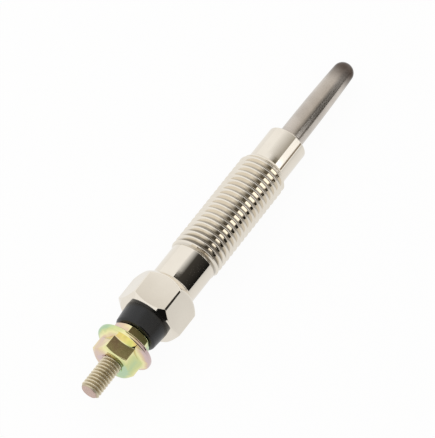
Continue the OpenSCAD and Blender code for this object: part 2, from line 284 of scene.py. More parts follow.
# %% Place the screens
WHITE, PALE, LIGHT, GREY = "#FFFFFF", "#F2F0EC", "#D4CEC6", "#A8A39A"
DIM, OLIVE, DARK, BLACK = "#4A4844", "#332E25", "#403E3B", "#141414"
NUT_SIDE, HEX_WALL = ("#8A7F74", "#544C40"), ("#DEDBD6", WHITE)
THREAD_SIDE, TABLE_EDGE = ("#383838", "#7A7468"), ("#4E463B", "#9A8F80")
CARD_STRENGTH, NOSE_CARD_STRENGTH = 1.7, 1.15
STUD_SIDE_MM, CARD_EARLY_MM = 3, 0.5
ROOM_X, ROOM_Y, ROOM_Z = -120, (-12, -150), (-8, 150)
far_start, far_end = -150, 120
shank_x, thread_start_x, thread_end_x = -39.2, -32.2, -7.3

stud_end, nuts_end, hex_end = (shown_at(x) for x in (flange_nut_x - STUD_SIDE_MM, bush_x, shank_x))
card_start, nose_start, card_end = (shown_at(x) for x in (thread_start_x - CARD_EARLY_MM, thread_end_x, 0))
screens = [
    screen("dim side above the stud", far_start, stud_end, 80, 178, PALE, LIGHT),
    screen("dark side above the nuts", stud_end, nuts_end, 74, 150, NUT_SIDE),
    screen("gap beside the collar", stud_end, nuts_end, 150, 162, GREY),
    screen("dark side below the gap", stud_end, nuts_end, 162, 178, OLIVE),
    screen("pale wall above the hexagon", nuts_end, hex_end, 50, 80, HEX_WALL),
    screen("dark side above the hexagon", nuts_end, hex_end, 80, 107, OLIVE, DARK),
    screen("fading side above the shank", hex_end, card_start, 72, 107, WHITE, DARK),
    screen("dark side beside the shank", nuts_end, card_start, 107, 182, DARK, BLACK),
    screen("fading side above the thread", card_start, nose_start, 78, 110, WHITE, THREAD_SIDE),
    screen("dim side beside the thread", card_start, nose_start, 110, 128, THREAD_SIDE),
    screen("white card beside the thread", card_start, nose_start, 128, 159, WHITE, strength=CARD_STRENGTH),
    screen("fading side above the nose", nose_start, card_end, 52, 127, WHITE, GREY),
    screen("white card beside the nose", nose_start, card_end, 127, 159, WHITE, strength=NOSE_CARD_STRENGTH),
    screen("dark edge of the table", card_start, card_end, 164, 174, TABLE_EDGE),
    screen("grey wall above the heater", card_end, far_end, -10, 95, (WHITE, PALE), LIGHT),
    screen("fading side above the heater", card_end, far_end, 95, 128, LIGHT, DIM),
    screen("dark side beside the heater", card_end, far_end, 128, 183, DIM),
]
room = [(ROOM_X, ROOM_Y[i], ROOM_Z[j]) for i, j in ((0, 0), (1, 0), (1, 1), (0, 1))]
screens.append(show_in_reflections("dark room behind the camera", room, [(0, 1, 2, 3)], [linear(BLACK)] * 4))
print(len(screens), "screens at", SCREEN_RADIUS, "mm")

# %% [markdown]
# One broad lamp gives the soft shadow. It hangs over the far side of the table, as in the picture. Metal
# would show it as a hard white rectangle, so it is hidden from reflections, which have their screens.

# %% Softbox on the far side
SOFTBOX_DISTANCE = 450
SOFTBOX_ANGLE = 58
SOFTBOX_LEAN = 0.25
SOFTBOX_SIZE = (420, 300)
SOFTBOX_WATTS = 0.45
lamp = bpy.data.lights.new("softbox", "AREA")
lamp.shape = "RECTANGLE"
lamp.size, lamp.size_y = SOFTBOX_SIZE[0] * MM, SOFTBOX_SIZE[1] * MM
lamp.energy = SOFTBOX_WATTS
softbox = bpy.data.objects.new("softbox", lamp)
angle = math.radians(SOFTBOX_ANGLE)
toward = Vector((SOFTBOX_LEAN, math.cos(angle), math.sin(angle)))
softbox.location = VIEW_TARGET * MM + toward.normalized() * SOFTBOX_DISTANCE * MM
softbox.rotation_euler = (-toward).to_track_quat("-Z", "Y").to_euler()
softbox.visible_glossy = False
scene.collection.objects.link(softbox)
print("softbox", SOFTBOX_SIZE, "mm at", SOFTBOX_DISTANCE, "mm")

# %% [markdown]
# ## Rings and skins
# Nearly all of a glow plug is turned, so its pieces are rings of points round the axis, skinned with
# quads. A Screw modifier could spin a profile, but a hexagon has to be cut by cones, and there a ring of
# points with its own station and radius in each column follows the cut exactly: the curved line where a
# bevel meets a flat is a row of real edges. Every skin runs out along the surface and back through the
# bore, so it closes on itself.

# %% Helpers for turned pieces
COLUMNS = 144
WELD = 0.002


def ring(x, radius, turn=0.0):
    """Points round the axis, at one station and radius or at one for each column."""
    angle = np.linspace(0, math.tau, COLUMNS, endpoint=False) + math.radians(turn)
    x, radius = np.broadcast_to(x, COLUMNS), np.broadcast_to(radius, COLUMNS)
    return np.stack([x, radius * np.cos(angle), radius * np.sin(angle)], axis=1)


def hexagon(across_flats):
    """Distance from the axis to a hexagon's side in each column, with a corner in the first one."""
    angle = np.linspace(0, 360, COLUMNS, endpoint=False)
    return across_flats / 2 / np.cos(np.radians(angle % 60 - 30))


def skin(made, rings, closed=True):
    """Adds rings of points in millimetres to a bmesh and joins each to the next with quads."""
    rows = [[made.verts.new(Vector(p) * MM) for p in points] for points in rings]
    for near, far in zip(rows, rows[1:] + rows[:1] if closed else rows[1:]):
        for j in range(COLUMNS):
            k = (j + 1) % COLUMNS
            made.faces.new((near[j], far[j], far[k], near[k]))


print(COLUMNS, "columns round each piece")

# %% [markdown]
# A real edge is never sharp. The tool, tumbling and plating leave it rounded, and that rounding is what
# catches the light. The Bevel modifier rounds the edges that carry a weight. Each piece says how large
# the rounding is at a place: a size, nought for an edge that stays crisp because a neighbour covers it,
# or None on a thread, whose crests get their shape from the thread itself. Hardened normals keep the
# flats flat. The result is turned into a plain mesh and joined to its body.

# %% Helper that finishes a piece
EDGE_ANGLE = 22
BEVEL_STEPS = 3


def finish_piece(name, made, material, rounding):
    """Welds a bmesh, rounds its edges, and makes it the object that stands for a CAD node."""
    bmesh.ops.remove_doubles(made, verts=made.verts, dist=WELD * MM)
    bmesh.ops.recalc_face_normals(made, faces=made.faces)
    weight = made.edges.layers.float.new("bevel_weight_edge")
    sizes = {}
    for edge in made.edges:
        if edge.calc_face_angle(0) > math.radians(EDGE_ANGLE):
            low, high = sorted((v.co / MM for v in edge.verts), key=lambda p: p.x)
            sizes[edge] = rounding((low + high) / 2, (high - low).normalized().x)
    widest = max(size or 0 for size in sizes.values())
    for edge, size in sizes.items():
        edge[weight] = (size or 0) / widest
        edge.smooth = size != 0
    mesh = bpy.data.meshes.new(name)
    made.to_mesh(mesh)
    made.free()
    mesh.polygons.foreach_set("use_smooth", [True] * len(mesh.polygons))
    mesh.materials.append(material)
    mesh.polygons.foreach_set("material_index", [0] * len(mesh.polygons))
    piece = bpy.data.objects.new(name, mesh)
    scene.collection.objects.link(piece)
    bevel = piece.modifiers.new("soft edges", "BEVEL")
    bevel.limit_method = "WEIGHT"
    bevel.width = widest * MM
    bevel.segments = BEVEL_STEPS
    bevel.use_clamp_overlap = False
    bevel.harden_normals = True
    evaluated = piece.evaluated_get(bpy.context.evaluated_depsgraph_get())
    finished = bpy.data.meshes.new_from_object(evaluated)
    piece.modifiers.clear()
    piece.data = finished
    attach(piece, "root")
    print(name, len(finished.polygons), "faces")
    return piece


# %% [markdown]
# ## Finishes
# Every finish starts from the Principled shader and from Object coordinates, which stay with a piece
# wherever it goes. Generated coordinates would stretch with the piece's box. A noise keeps to the middle
# of its range, so the span that it really uses is what is mapped to a roughness.

# %% Helpers for finishes
NOISE_SPAN = {"From Min": 0.3, "From Max": 0.7}


def start_finish(name, metallic):
    """A new material with its tree, its shader and the socket of the piece's own coordinates."""
    material = bpy.data.materials.new(name)
    material.use_nodes = True
    tree = material.node_tree
    shader = tree.nodes["Principled BSDF"]
    shader.inputs["Metallic"].default_value = metallic
    return material, tree, shader, add(tree, "ShaderNodeTexCoord").outputs["Object"]


def off_axis(tree, place):
    """Socket with the distance from the plug's axis."""
    sideways = add(tree, "ShaderNodeVectorMath", {0: place, 1: (0, 1, 1)}, operation="MULTIPLY")
    return add(tree, "ShaderNodeVectorMath", {0: sideways.outputs[0]}, operation="LENGTH").outputs["Value"]


print("noises are used from", NOISE_SPAN["From Min"], "to", NOISE_SPAN["From Max"])

# %% [markdown]
# ## Nickel plate
# The housing is turned steel with bright nickel plate. Nickel is a warm grey mirror. The lathe's feed
# leaves fine rings under the plate, and the plate clouds a little in patches. The roots of the thread get
# painted shade and are made rougher, most of all in its first turns. The feed rings are drawn coarser
# than the real ones, so that they show.

# %% Finish of the housing
CLOUD_MM = 4.0
ROOT_SHADE_RUN_MM = 9.0
ROOT_SHADE_SHARE = {"To Min": 0.85, "To Max": 0.5}
ROOT_SHADE_UP_TO_R = (4.8, 4.42)
ROOT_SHADE_START_MM, ROOT_SHADE_STOP_MM = 1.0, 0.5
body_root_r, body_crest_r = 4.233, 5.0
thread_lead = 1.3

nickel, tree, shader, place = start_finish("bright nickel plate on turned steel", 1.0)
station = add(tree, "ShaderNodeSeparateXYZ", {0: place}).outputs["X"]
cloud = add(tree, "ShaderNodeTexNoise", {"Vector": place, "Scale": per_metre(CLOUD_MM), "Detail": 4.0})
plate = add(tree, "ShaderNodeMix", {0: cloud.outputs[0], COLOUR_A: linear("#F1EADD"),
                                    COLOUR_B: linear("#E7DFD2")}, data_type="RGBA")
# Painted shade in the roots of the thread, strongest in its first turns and gone before the lead.
shaded_run = {"Value": station, "From Min": thread_start_x * MM, "From Max": (thread_start_x + ROOT_SHADE_RUN_MM) * MM}
shade_depth = add(tree, "ShaderNodeMapRange", {**shaded_run, **ROOT_SHADE_SHARE})
shade_reach = add(tree, "ShaderNodeMapRange", {**shaded_run, "To Min": ROOT_SHADE_UP_TO_R[0] * MM,
                                          "To Max": ROOT_SHADE_UP_TO_R[1] * MM})
deep = add(tree, "ShaderNodeMapRange", {
    "Value": off_axis(tree, place), "From Min": body_root_r * MM, "From Max": shade_reach.outputs[0],
    "To Min": shade_depth.outputs[0], "To Max": 0.0})
enter = add(tree, "ShaderNodeMapRange", {"Value": station, "From Min": thread_start_x * MM,
                                         "From Max": (thread_start_x + ROOT_SHADE_START_MM) * MM})
leave = add(tree, "ShaderNodeMapRange", {
    "Value": station, "From Min": (thread_end_x - thread_lead) * MM,
    "From Max": (thread_end_x - ROOT_SHADE_STOP_MM) * MM, "To Min": 1.0, "To Max": 0.0})
within = add(tree, "ShaderNodeMath", {0: enter.outputs[0], 1: leave.outputs[0]}, operation="MULTIPLY")
root_shade = add(tree, "ShaderNodeMath", {0: deep.outputs[0], 1: within.outputs[0]}, operation="MULTIPLY")
# The painted shade darkens the plate's colour in the roots of the thread.
colour = add(tree, "ShaderNodeMix", {0: root_shade.outputs[0], COLOUR_A: plate.outputs[COLOUR_OUT],
                                     COLOUR_B: linear("#5E574D")}, data_type="RGBA")
tree.links.new(colour.outputs[COLOUR_OUT], shader.inputs["Base Color"])
print(nickel.name, "with clouds of", CLOUD_MM, "mm")

# %% Gloss and feed rings of the housing
FEED_MM, FEED_LENGTH_MM, FEED_DEPTH_MM = 0.3, 9.0, 0.02
FEED_STRENGTH = 0.015
FEED_FADE_MM = 0.2
SMEAR_MM = 0.7
NICKEL_ROUGHNESS = {"To Min": 0.035, "To Max": 0.065}
ROOT_ROUGHNESS = 0.3

smear = add(tree, "ShaderNodeTexNoise", {"Vector": place, "Scale": per_metre(SMEAR_MM), "Detail": 3.0})
gloss = add(tree, "ShaderNodeMapRange", {**NOISE_SPAN, **NICKEL_ROUGHNESS, "Value": smear.outputs[0]})
# The roots that carry the painted shade are also made rougher.
dull = add(tree, "ShaderNodeMath", {0: root_shade.outputs[0], 1: ROOT_ROUGHNESS, 2: gloss.outputs[0]},
           operation="MULTIPLY_ADD")
tree.links.new(dull.outputs[0], shader.inputs["Roughness"])
across = add(tree, "ShaderNodeMapping", {"Vector": place, "Scale": (
    per_metre(FEED_MM), per_metre(FEED_LENGTH_MM), per_metre(FEED_LENGTH_MM))})
feed = add(tree, "ShaderNodeTexNoise", {"Vector": across.outputs[0], "Scale": 1.0, "Detail": 2.0})
turned = add(tree, "ShaderNodeMapRange", {
    "Value": station, "From Min": (shank_x - FEED_FADE_MM) * MM, "From Max": shank_x * MM,
    "To Min": 0.0, "To Max": FEED_STRENGTH})
rings = add(tree, "ShaderNodeBump", {"Height": feed.outputs[0], "Strength": turned.outputs[0],
                                     "Distance": FEED_DEPTH_MM * MM})
tree.links.new(rings.outputs[0], shader.inputs["Normal"])
print("feed rings", FEED_MM, "mm apart")

# %% [markdown]
# ## Rolled threads
# A thread is a ridge that climbs along a helix. It could be swept along a curve and joined to the rod
# with a boolean, which leaves thousands of slivers. Here Geometry Nodes bends one flat grid instead: its
# long side runs round and round the axis, its short side spans one pitch, and the last row of a turn
# falls on the first row of the next, where the two are merged. Rows follow the helix, so every crest is
# one clean line. Stations are held between the two ends of the thread, which gives plain round rims.
#
# A rolled thread grows out of a blank of its pitch diameter, so at its start the ridge swells from that
# radius, and at the far end a cone cuts it down for the lead. The same tree makes the body thread and the
# stud thread, which differ only in the sizes they are given.

# %% Tree for a rolled thread
CREST_SHARE, ROOT_SHARE = 0.125, 0.875
thread_tree = bpy.data.node_groups.new("rolled thread", "GeometryNodeTree")
THREAD_INPUTS = {"Start": "Float", "Length": "Float", "Facing": "Float", "Pitch": "Float",
                 "Crest radius": "Float", "Root radius": "Float", "Blank radius": "Float",
                 "Run-in": "Float", "Lead": "Float", "End radius": "Float", "Turns": "Int",
                 "Columns": "Int", "Rows": "Int", "Material": "Material"}
thread_socket = {}
for name, kind in THREAD_INPUTS.items():
    socket = thread_tree.interface.new_socket(name, in_out="INPUT", socket_type="NodeSocket" + kind)
    thread_socket[name] = socket.identifier
thread_tree.interface.new_socket("Geometry", in_out="OUTPUT", socket_type="NodeSocketGeometry")

tree = thread_tree
given = add(tree, "NodeGroupInput").outputs
along = add(tree, "ShaderNodeMath", {0: given["Columns"], 1: given["Turns"], 2: 1.0},
            operation="MULTIPLY_ADD")
over = add(tree, "ShaderNodeMath", {0: given["Rows"], 1: 1.0}, operation="ADD")
grid = add(tree, "GeometryNodeMeshGrid", {"Size X": given["Turns"], "Size Y": 1.0,
                                          "Vertices X": along.outputs[0], "Vertices Y": over.outputs[0]})
flat = add(tree, "ShaderNodeSeparateXYZ", {0: add(tree, "GeometryNodeInputPosition").outputs[0]})
turn = add(tree, "ShaderNodeMath", {0: given["Turns"], 1: 0.5, 2: flat.outputs["X"]},
           operation="MULTIPLY_ADD")
angle = add(tree, "ShaderNodeMath", {0: turn.outputs[0], 1: math.tau}, operation="MULTIPLY")
climb = add(tree, "ShaderNodeMath", {0: turn.outputs[0], 1: flat.outputs["Y"]}, operation="ADD")
climb = add(tree, "ShaderNodeMath", {0: climb.outputs[0], 1: 0.5}, operation="SUBTRACT")
climb = add(tree, "ShaderNodeMath", {0: climb.outputs[0], 1: given["Pitch"]}, operation="MULTIPLY")
held = add(tree, "ShaderNodeClamp", {"Value": climb.outputs[0], "Min": 0.0,
                                     "Max": given["Length"]}).outputs[0]
print(len(tree.nodes), "nodes lay out the helix")

# %% Radius of the thread at each point
off_crest = add(tree, "ShaderNodeMath", {0: flat.outputs["Y"]}, operation="ABSOLUTE")
ridge = add(tree, "ShaderNodeMapRange", {
    "Value": off_crest.outputs[0], "From Min": CREST_SHARE / 2, "From Max": ROOT_SHARE / 2,
    "To Min": given["Crest radius"], "To Max": given["Root radius"]})
grown = add(tree, "ShaderNodeMapRange", {"Value": held, "From Max": given["Run-in"]},
            interpolation_type="SMOOTHSTEP")
swell = add(tree, "ShaderNodeMix", {0: grown.outputs[0], VALUE_A: given["Blank radius"],
                                    VALUE_B: ridge.outputs[0]})
lead_start = add(tree, "ShaderNodeMath", {0: given["Length"], 1: given["Lead"]}, operation="SUBTRACT")
cone = add(tree, "ShaderNodeMapRange", {
    "Value": held, "From Min": lead_start.outputs[0], "From Max": given["Length"],
    "To Min": given["Crest radius"], "To Max": given["End radius"]})
reach = add(tree, "ShaderNodeMath", {0: swell.outputs[0], 1: cone.outputs[0]}, operation="MINIMUM")
print(len(tree.nodes), "nodes with the radius")

# %% Wind the thread round the axis
x = add(tree, "ShaderNodeMath", {0: given["Facing"], 1: held, 2: given["Start"]}, operation="MULTIPLY_ADD")
side = add(tree, "ShaderNodeMath", {0: reach.outputs[0], 1: given["Facing"]}, operation="MULTIPLY")
cosine = add(tree, "ShaderNodeMath", {0: angle.outputs[0]}, operation="COSINE")
sine = add(tree, "ShaderNodeMath", {0: angle.outputs[0]}, operation="SINE")
y = add(tree, "ShaderNodeMath", {0: side.outputs[0], 1: cosine.outputs[0]}, operation="MULTIPLY")
z = add(tree, "ShaderNodeMath", {0: reach.outputs[0], 1: sine.outputs[0]}, operation="MULTIPLY")
wound = add(tree, "ShaderNodeCombineXYZ", {0: x.outputs[0], 1: y.outputs[0], 2: z.outputs[0]})
bent = add(tree, "GeometryNodeSetPosition", {"Geometry": grid.outputs["Mesh"],
                                             "Position": wound.outputs[0]})
welded = add(tree, "GeometryNodeMergeByDistance", {"Geometry": bent.outputs[0], "Distance": WELD * MM})
real = add(tree, "GeometryNodeRealizeInstances", {0: welded.outputs[0]})
plated = add(tree, "GeometryNodeSetMaterial", {"Geometry": real.outputs[0], "Material": given["Material"]})
add(tree, "NodeGroupOutput", {0: plated.outputs[0]})
print(len(tree.nodes), "nodes make a thread")

# %% Cut a thread
PITCH_ROWS = 16


def cut_thread(made, material, start, length, facing, pitch, crest, root, blank, run_in, lead, end):
    """Adds a rolled thread to a bmesh. Sizes are millimetres; facing is 1 towards the tip and -1 away."""
    values = {"Start": start * MM, "Length": length * MM, "Facing": float(facing), "Pitch": pitch * MM,
              "Crest radius": crest * MM, "Root radius": root * MM, "Blank radius": blank * MM,
              "Run-in": run_in * MM, "Lead": lead * MM, "End radius": end * MM,
              "Turns": math.ceil(length / pitch) + 1, "Columns": COLUMNS, "Rows": PITCH_ROWS,
              "Material": material}
    helper = bpy.data.objects.new("thread", bpy.data.meshes.new("thread"))
    scene.collection.objects.link(helper)
    modifier = helper.modifiers.new("rolled thread", "NODES")
    modifier.node_group = thread_tree
    for name, value in values.items():
        modifier[thread_socket[name]] = value
    evaluated = helper.evaluated_get(bpy.context.evaluated_depsgraph_get())
    mesh = bpy.data.meshes.new_from_object(evaluated)
    made.from_mesh(mesh)
    print("thread of", values["Turns"], "turns,", len(mesh.polygons), "faces")
    bpy.data.objects.remove(helper)
    bpy.data.meshes.remove(mesh)


# %% [markdown]
# ## Housing
# The housing starts as hexagon bar. One end keeps the hexagon: its mouth is bevelled to a round face, and
# towards the shank its corners are turned down along a dome. The rest is turned to the shank, the thread
# and the nose, which ends in the cone that seals in the cylinder head. In each column the bevel and the
# dome are met where their radius equals the hexagon's, so both curved lines lie exactly on the flats.

# %% Sizes of the housing
hex_corner_r = half_width("housing")
hex_flats = 2 * hex_corner_r * math.cos(math.radians(30))
hex_face_r = 5.8
mouth_bore_r, core_bore_r, grip_r = 3.7, 3.0, 2.51
mouth_depth, cone_rim = 4.1, 0.12
mouth_floor_x = mouth_x + mouth_depth
shank_r, nose_r = 4.594, 4.1
cone_end_r = grip_r + cone_rim
body_pitch, body_run_in = 1.25, 0.5
dome_len = 2.24
dome_back = (hex_corner_r ** 2 - shank_r ** 2 - dome_len ** 2) / (2 * dome_len)
dome_r = math.hypot(hex_corner_r, dome_back)
dome_x = shank_x - dome_len
dome_centre_x = dome_x - dome_back
print(f"hexagon {hex_flats:.2f} mm across flats, dome of radius {dome_r:.2f} mm")

# %% Rounding of the housing's edges
EDGE_ROUND, DOME_ROUND = 0.1, 0.3
CORNER_ROUND, CORNER_MORE = 0.16, 0.24
ALONG_AXIS = 0.9


def housing_rounding(place, along):
    """Size of the rounding on the housing's edges. The hexagon's corners are rounder near the mouth."""
    radius = math.hypot(place.y, place.z)
    if radius < mouth_bore_r + WELD or abs(place.x - thread_end_x) < WELD or place.x < mouth_x + WELD:
        return 0
    if thread_start_x - WELD < place.x < thread_end_x:
        return None
    if along > ALONG_AXIS:
        return CORNER_ROUND + CORNER_MORE * (dome_x - place.x) / (dome_x - mouth_x)
    return DOME_ROUND if dome_x - WELD < place.x < shank_x - WELD else EDGE_ROUND


print("corners rounded by", CORNER_ROUND, "to", CORNER_ROUND + CORNER_MORE, "mm")

# %% Make the housing
BEVEL_SLOPE, MOUTH_SLOPE = math.tan(math.radians(30)), math.tan(math.radians(40))
DOME_STEPS, FLAT_STEPS = 4, 5
FLAT_SPAN = (0.15, 0.85)
side_r = hexagon(hex_flats)
bevel_x = mouth_x + (side_r - hex_face_r) * MOUTH_SLOPE
flats = [ring(bevel_x + (dome_x - bevel_x) * share, side_r) for share in np.linspace(*FLAT_SPAN, FLAT_STEPS)]
dome = []
for step in range(DOME_STEPS + 1):
    r = side_r + (shank_r - side_r) * step / DOME_STEPS
    dome.append(ring(dome_centre_x + np.sqrt(dome_r ** 2 - r ** 2), r))
made = bmesh.new()
skin(made, [
    ring(thread_end_x, nose_r), ring(0, nose_r), ring(root_x, cone_end_r), ring(root_x, grip_r),
    ring(sheath_x, grip_r), ring(sheath_x - (core_bore_r - grip_r), core_bore_r),
    ring(mouth_floor_x, core_bore_r), ring(mouth_floor_x, mouth_bore_r), ring(mouth_x, mouth_bore_r),
    ring(mouth_x, hex_face_r), ring(bevel_x, side_r), *flats,
    *dome, ring(thread_start_x, shank_r)], closed=False)
cut_thread(made, nickel, thread_start_x, thread_end_x - thread_start_x, 1, body_pitch, body_crest_r,
           body_root_r, shank_r, body_run_in, thread_lead, nose_r)
housing = finish_piece("threaded_housing", made, nickel, housing_rounding)
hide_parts("housing")

# %% [markdown]
# ## Heater
# The heater is a drawn tube of nickel-chromium alloy, packed with powder and swaged thinner towards its
# welded tip. Drawing leaves fine lines along it, so its gloss is satin, and a trial run has browned the
# tip. A lathe profile is enough here: straight, then a shallow parabola, then the round of the tip.

# %% Finish of the heater
DRAW_MM, DRAW_LENGTH_MM, DRAW_DEPTH_MM = 0.12, 7.0, 0.02
DRAW_STRENGTH = 0.05
HEAT_CLOUD_MM = 3.0
BROWN_FROM_TIP, BROWN_FULL_FROM_TIP = 7, 1.5
BROWN_MOST, BROWN_CLOUD, BROWN_LESS = 0.95, 0.5, 0.2
HEATER_ROUGHNESS = {"To Min": 0.13, "To Max": 0.21}

heater_alloy, tree, shader, place = start_finish("drawn nickel-chromium alloy, satin", 1.0)
station = add(tree, "ShaderNodeSeparateXYZ", {0: place}).outputs["X"]
drawn = add(tree, "ShaderNodeMapping", {"Vector": place, "Scale": (
    per_metre(DRAW_LENGTH_MM), per_metre(DRAW_MM), per_metre(DRAW_MM))})
lines = add(tree, "ShaderNodeTexNoise", {"Vector": drawn.outputs[0], "Scale": 1.0, "Detail": 3.0})
cloud = add(tree, "ShaderNodeTexNoise", {"Vector": place, "Scale": per_metre(HEAT_CLOUD_MM), "Detail": 3.0})
brown = add(tree, "ShaderNodeMapRange", {
    "Value": station, "From Min": (tip_x - BROWN_FROM_TIP) * MM,
    "From Max": (tip_x - BROWN_FULL_FROM_TIP) * MM,
    "To Min": 0.0, "To Max": BROWN_MOST}, interpolation_type="SMOOTHSTEP")
brown = add(tree, "ShaderNodeMath", {0: cloud.outputs[0], 1: BROWN_CLOUD, 2: brown.outputs[0]},
            operation="MULTIPLY_ADD")
brown = add(tree, "ShaderNodeMath", {0: brown.outputs[0], 1: BROWN_LESS}, operation="SUBTRACT",
            use_clamp=True)
metal = add(tree, "ShaderNodeMix", {0: brown.outputs[0], COLOUR_A: linear("#D2CAC1"),
                                    COLOUR_B: linear("#574C45")}, data_type="RGBA")
tree.links.new(metal.outputs[COLOUR_OUT], shader.inputs["Base Color"])
gloss = add(tree, "ShaderNodeMapRange", {**NOISE_SPAN, **HEATER_ROUGHNESS, "Value": lines.outputs[0]})
tree.links.new(gloss.outputs[0], shader.inputs["Roughness"])
grooves = add(tree, "ShaderNodeBump", {"Height": lines.outputs[0], "Strength": DRAW_STRENGTH,
                                       "Distance": DRAW_DEPTH_MM * MM})
tree.links.new(grooves.outputs[0], shader.inputs["Normal"])
print(heater_alloy.name)

# %% Make the heater
sheath_r, sheath_wall = 2.5, 0.65
heater_straight, heater_taper, tip_wall = 1.5, 0.45, 1.5
tip_round, tip_flat_r = 2.0, 0.2
heater_edge = 0.08
TAPER_STEPS, TIP_STEPS = 24, 12
taper_x = root_x + heater_straight
cavity_x = tip_x - tip_wall


def heater_r(x):
    """Radius of the sheath: straight, then narrowing along a shallow parabola."""
    return sheath_r - heater_taper * max(0.0, (x - taper_x) / (tip_x - taper_x)) ** 2


shoulder_x = tip_x - tip_round
inside = [ring(x, heater_r(x) - sheath_wall) for x in np.linspace(cavity_x, taper_x, TAPER_STEPS)]
outside = [ring(x, heater_r(x)) for x in np.linspace(taper_x, shoulder_x, TAPER_STEPS)]
tip = []
for a in np.radians(np.linspace(0, 90, TIP_STEPS + 1))[1:]:
    tip.append(ring(shoulder_x + tip_round * math.sin(a),
                    tip_flat_r + (heater_r(shoulder_x) - tip_flat_r) * math.cos(a)))
made = bmesh.new()
skin(made, [ring(cavity_x, 0), *inside, ring(sheath_x, sheath_r - sheath_wall), ring(sheath_x, sheath_r),
            *outside, *tip, ring(tip_x, 0)], closed=False)
heater = finish_piece("heater_rod", made, heater_alloy, lambda place, along: heater_edge)
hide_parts("heater_sheath")

# %% [markdown]
# ## Insulator bush
# The bush is moulded phenolic, satin black, with a fine grain from the mould and from its filler. Such a
# plastic is a dielectric: its own colour is nearly black and what shows is the soft gloss. The collar is
# slightly tapered for the mould and rounded at its outer edge.

# %% Finish of the bush
GRAIN_MM, GRAIN_DEPTH_MM = 0.14, 0.02
GRAIN_STRENGTH = 0.15
HAZE_MM = 2.2
PHENOLIC_ROUGHNESS = {"To Min": 0.2, "To Max": 0.32}

phenolic, tree, shader, place = start_finish("moulded phenolic, satin black", 0.0)
grain = add(tree, "ShaderNodeTexNoise", {"Vector": place, "Scale": per_metre(GRAIN_MM), "Detail": 2.0})
haze = add(tree, "ShaderNodeTexNoise", {"Vector": place, "Scale": per_metre(HAZE_MM), "Detail": 4.0})
black = add(tree, "ShaderNodeMix", {0: haze.outputs[0], COLOUR_A: linear("#0B0C0D"),
                                    COLOUR_B: linear("#15171A")}, data_type="RGBA")
tree.links.new(black.outputs[COLOUR_OUT], shader.inputs["Base Color"])
gloss = add(tree, "ShaderNodeMapRange", {**NOISE_SPAN, **PHENOLIC_ROUGHNESS, "Value": haze.outputs[0]})
tree.links.new(gloss.outputs[0], shader.inputs["Roughness"])
skin_grain = add(tree, "ShaderNodeBump", {"Height": grain.outputs[0], "Strength": GRAIN_STRENGTH,
                                          "Distance": GRAIN_DEPTH_MM * MM})
tree.links.new(skin_grain.outputs[0], shader.inputs["Normal"])
print(phenolic.name)

# %% Make the bush
bush_r, bush_foot_r, bush_round = 4.3, half_width("insulator_bush"), 0.7
bush_hole_r, spigot_r = 1.853, 3.62
bush_edge = 0.06
ROUND_STEPS = 8
edge = []
for a in np.radians(np.linspace(0, 90, ROUND_STEPS + 1)):
    edge.append(ring(bush_x + bush_round * (1 - math.cos(a)), bush_r - bush_round * (1 - math.sin(a))))
made = bmesh.new()
skin(made, [ring(bush_x, bush_hole_r), *edge, ring(mouth_x, bush_foot_r), ring(mouth_x, spigot_r),
            ring(bush_end_x, spigot_r), ring(bush_end_x, bush_hole_r)])
bush = finish_piece("insulator_collar", made, phenolic, lambda place, along: bush_edge)
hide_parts("insulator_bush")

# %% [markdown]
# ## Yellow chromate
# Both nuts are zinc plated and dipped in yellow chromate. The film is so thin that light interferes in
# it, so its colour drifts between straw, peach, pink and mint over a few millimetres. Thin-film nodes
# would shift with the view and are lost on export, so the drift is painted: a soft noise, pulled one way
# across the hexagon and the other way across the flange, walks through a ramp of the film's colours.

# %% Finish of the nuts
DRIFT_MM = 3.2
DRIFT_SHARE, DRIFT_TWIST = 0.7, 0.5
FILM_TURN_MM = 4.7
FILM_PULL, FILM_START = 0.08, 0.14
FILM_COLOURS = {0.14: "#D8C2C0", 0.32: "#E6CDAE", 0.5: "#F7F0B6", 0.66: "#DAE0A2", 0.84: "#B9D4AE"}

zinc, tree, shader, place = start_finish("yellow chromate on zinc plate", 1.0)
drift = add(tree, "ShaderNodeTexNoise", {"Vector": place, "Scale": per_metre(DRIFT_MM), "Detail": 2.0,
                                         "Distortion": DRIFT_TWIST})
aside = add(tree, "ShaderNodeSeparateXYZ", {0: place}).outputs["Y"]
outward = add(tree, "ShaderNodeMath", {0: off_axis(tree, place), 1: FILM_TURN_MM * MM}, operation="SUBTRACT")
pull = add(tree, "ShaderNodeMath", {0: aside, 1: outward.outputs[0]}, operation="MULTIPLY")
pull = add(tree, "ShaderNodeMath", {0: pull.outputs[0], 1: FILM_PULL / MM ** 2, 2: FILM_START},
           operation="MULTIPLY_ADD")
film = add(tree, "ShaderNodeMath", {0: drift.outputs[0], 1: DRIFT_SHARE, 2: pull.outputs[0]},
           operation="MULTIPLY_ADD")
ramp = add(tree, "ShaderNodeValToRGB", {0: film.outputs[0]})
ramp.color_ramp.elements.remove(ramp.color_ramp.elements[1])
for share, colour in FILM_COLOURS.items():
    ramp.color_ramp.elements.new(share).color = linear(colour)
ramp.color_ramp.elements.remove(ramp.color_ramp.elements[0])
tree.links.new(ramp.outputs[0], shader.inputs["Base Color"])
print(zinc.name, "in", len(FILM_COLOURS), "colours")

# %% Gloss of the nuts
DIMPLE_MM, DIMPLE_DEPTH_MM = 0.6, 0.03
DIMPLE_STRENGTH = 0.04
ZINC_ROUGHNESS = {"To Min": 0.04, "To Max": 0.07}
fine = add(tree, "ShaderNodeTexNoise", {"Vector": place, "Scale": per_metre(DIMPLE_MM), "Detail": 2.0})
gloss = add(tree, "ShaderNodeMapRange", {**NOISE_SPAN, **ZINC_ROUGHNESS, "Value": fine.outputs[0]})
tree.links.new(gloss.outputs[0], shader.inputs["Roughness"])
dimples = add(tree, "ShaderNodeBump", {"Height": fine.outputs[0], "Strength": DIMPLE_STRENGTH,
                                       "Distance": DIMPLE_DEPTH_MM * MM})
tree.links.new(dimples.outputs[0], shader.inputs["Normal"])
print("dimples of", DIMPLE_MM, "mm")

